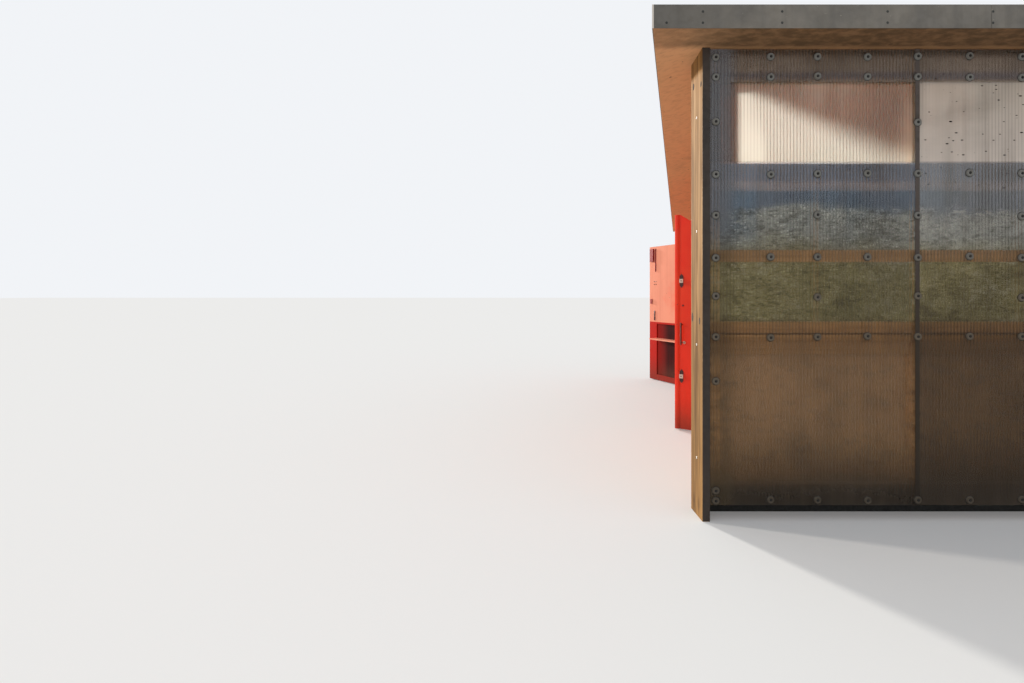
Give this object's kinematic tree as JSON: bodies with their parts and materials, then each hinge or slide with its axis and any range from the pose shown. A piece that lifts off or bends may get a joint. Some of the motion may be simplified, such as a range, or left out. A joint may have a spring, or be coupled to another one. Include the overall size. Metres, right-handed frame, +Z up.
{
  "type": "beach hut",
  "caption": "Beach hut with translucent sheet-clad timber walls, a porch behind a wing wall, a tilted planted roof and hinged red door leaves.",
  "frame": {"origin": "middle of the floor slab's underside, at ground level", "axes": "+Z up; +X inland, from the open front to the rear wall; +Y along the row, from the wing wall side to the far side"},
  "size_m": [4.401, 5.3053, 3.0341],
  "materials": {
    "floor_boards": "matte",
    "plinth": "matte",
    "wall_panel": "matte",
    "frame_timber": "matte",
    "battens": "matte",
    "infill": "matte",
    "cladding": "satin",
    "joint_strips": "dull grey",
    "end_boards": "weathered",
    "soffit": "matte",
    "planting": "rough",
    "fascia": "dull grey",
    "red_paint": "satin"
  },
  "bodies": {
    "hut": {"floor": "floor_boards", "plinths": "plinth", "near_wall_panel": "wall_panel", "near_wall_posts": "frame_timber", "near_wall_beam": "frame_timber", "near_wall_battens": "battens", "near_wall_infill": "infill", "near_wall_sheets": "cladding", "near_end_board": "end_boards", "far_wall_panel": "wall_panel", "far_wall_posts": "frame_timber", "far_wall_beam": "frame_timber", "far_wall_battens": "battens", "far_wall_infill": "infill", "far_wall_sheets": "cladding", "rear_wall_panel": "wall_panel", "rear_wall_posts": "frame_timber", "rear_wall_beam": "frame_timber", "rear_wall_battens": "battens", "rear_wall_infill": "infill", "rear_wall_sheets": "cladding", "joint_strips": "joint_strips", "corner_boards": "end_boards", "front_wall_panel": "wall_panel", "front_wall_pier": "wall_panel", "front_wall_head": "frame_timber", "front_wall_posts": "frame_timber", "front_wall_sheet": "cladding", "door_jambs": "red_paint", "roof_deck": "soffit", "roof_bed": "planting", "near_fascia": "fascia", "front_fascia": "fascia", "far_fascia": "fascia", "rear_fascia": "fascia", "frame_hinges": "red_paint"},
    "near_door": {"near_door_leaf": "red_paint", "near_door_hinges": "red_paint", "near_door_handle": "red_paint", "near_door_hasps": "red_paint"},
    "far_door": {"far_door_leaf": "red_paint", "far_door_hinges": "red_paint", "far_door_bolt": "red_paint", "far_door_shelf": "red_paint"}
  },
  "joints": [
    {"name": "near_door_swing", "type": "hinge", "parent": "hut", "child": "near_door", "pos_m": [-1.065, -0.78, 0], "axis": [0, 0, 1], "range_deg": [-57, 93]},
    {"name": "far_door_swing", "type": "hinge", "parent": "hut", "child": "far_door", "pos_m": [-1.065, 1.75, 0], "axis": [0, 0, -1], "range_deg": [-157, 13]}
  ]
}
